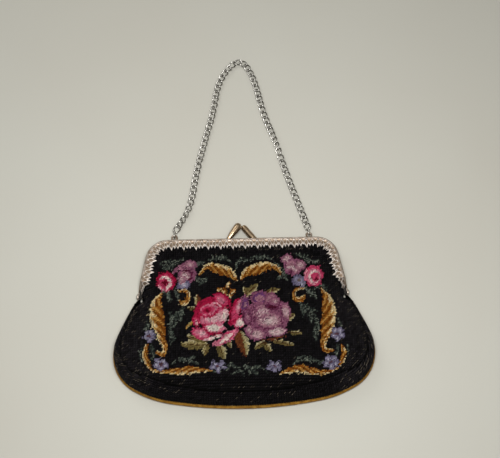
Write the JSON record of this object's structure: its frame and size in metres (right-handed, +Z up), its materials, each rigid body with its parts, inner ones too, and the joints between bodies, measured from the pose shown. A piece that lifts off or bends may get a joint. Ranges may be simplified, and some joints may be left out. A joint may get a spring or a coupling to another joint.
{
  "type": "clasp purse",
  "caption": "Needlepoint clasp purse with a hinged pierced metal frame, ball clasp and curb chain handle, lying on its back.",
  "frame": {"origin": "middle of the hinge line, straight below it on the flat back that the purse lies on", "axes": "+X to the right seen from the front, +Y towards the chain, +Z up out of the front panel"},
  "size_m": [0.2222, 0.3376, 0.0323],
  "materials": {
    "needlepoint": "matte",
    "gold_cloth": "matte",
    "lining_cloth": "satin",
    "frame_metal": "satin",
    "clasp_metal": "satin",
    "chain_metal": "satin",
    "paper_cord": "matte"
  },
  "bodies": {
    "bag": {"front_panel": "needlepoint", "gusset": "needlepoint", "back_panel": "gold_cloth", "front_lining": "lining_cloth", "back_lining": "lining_cloth", "back_frame": "frame_metal", "back_gallery": "frame_metal", "back_packing_cord": "paper_cord", "left_hinge_rivet": "frame_metal", "right_hinge_rivet": "frame_metal", "back_clasp": "clasp_metal", "left_chain_lug": "frame_metal", "right_chain_lug": "frame_metal"},
    "front_half": {"front_frame": "frame_metal", "front_gallery": "frame_metal", "front_packing_cord": "paper_cord", "front_clasp": "clasp_metal"},
    "chain_handle": {"left_end_link": "chain_metal", "right_end_link": "chain_metal", "chain": "chain_metal"}
  },
  "joints": [
    {"name": "frame_hinge", "type": "hinge", "parent": "bag", "child": "front_half", "pos_m": [0, 0, 0.004], "axis": [1, 0, 0], "range_deg": [0, 70]},
    {"name": "chain_swing", "type": "hinge", "parent": "bag", "child": "chain_handle", "pos_m": [0, 0.057, 0.0032], "axis": [1, 0, 0], "range_deg": [-60, 110]}
  ]
}
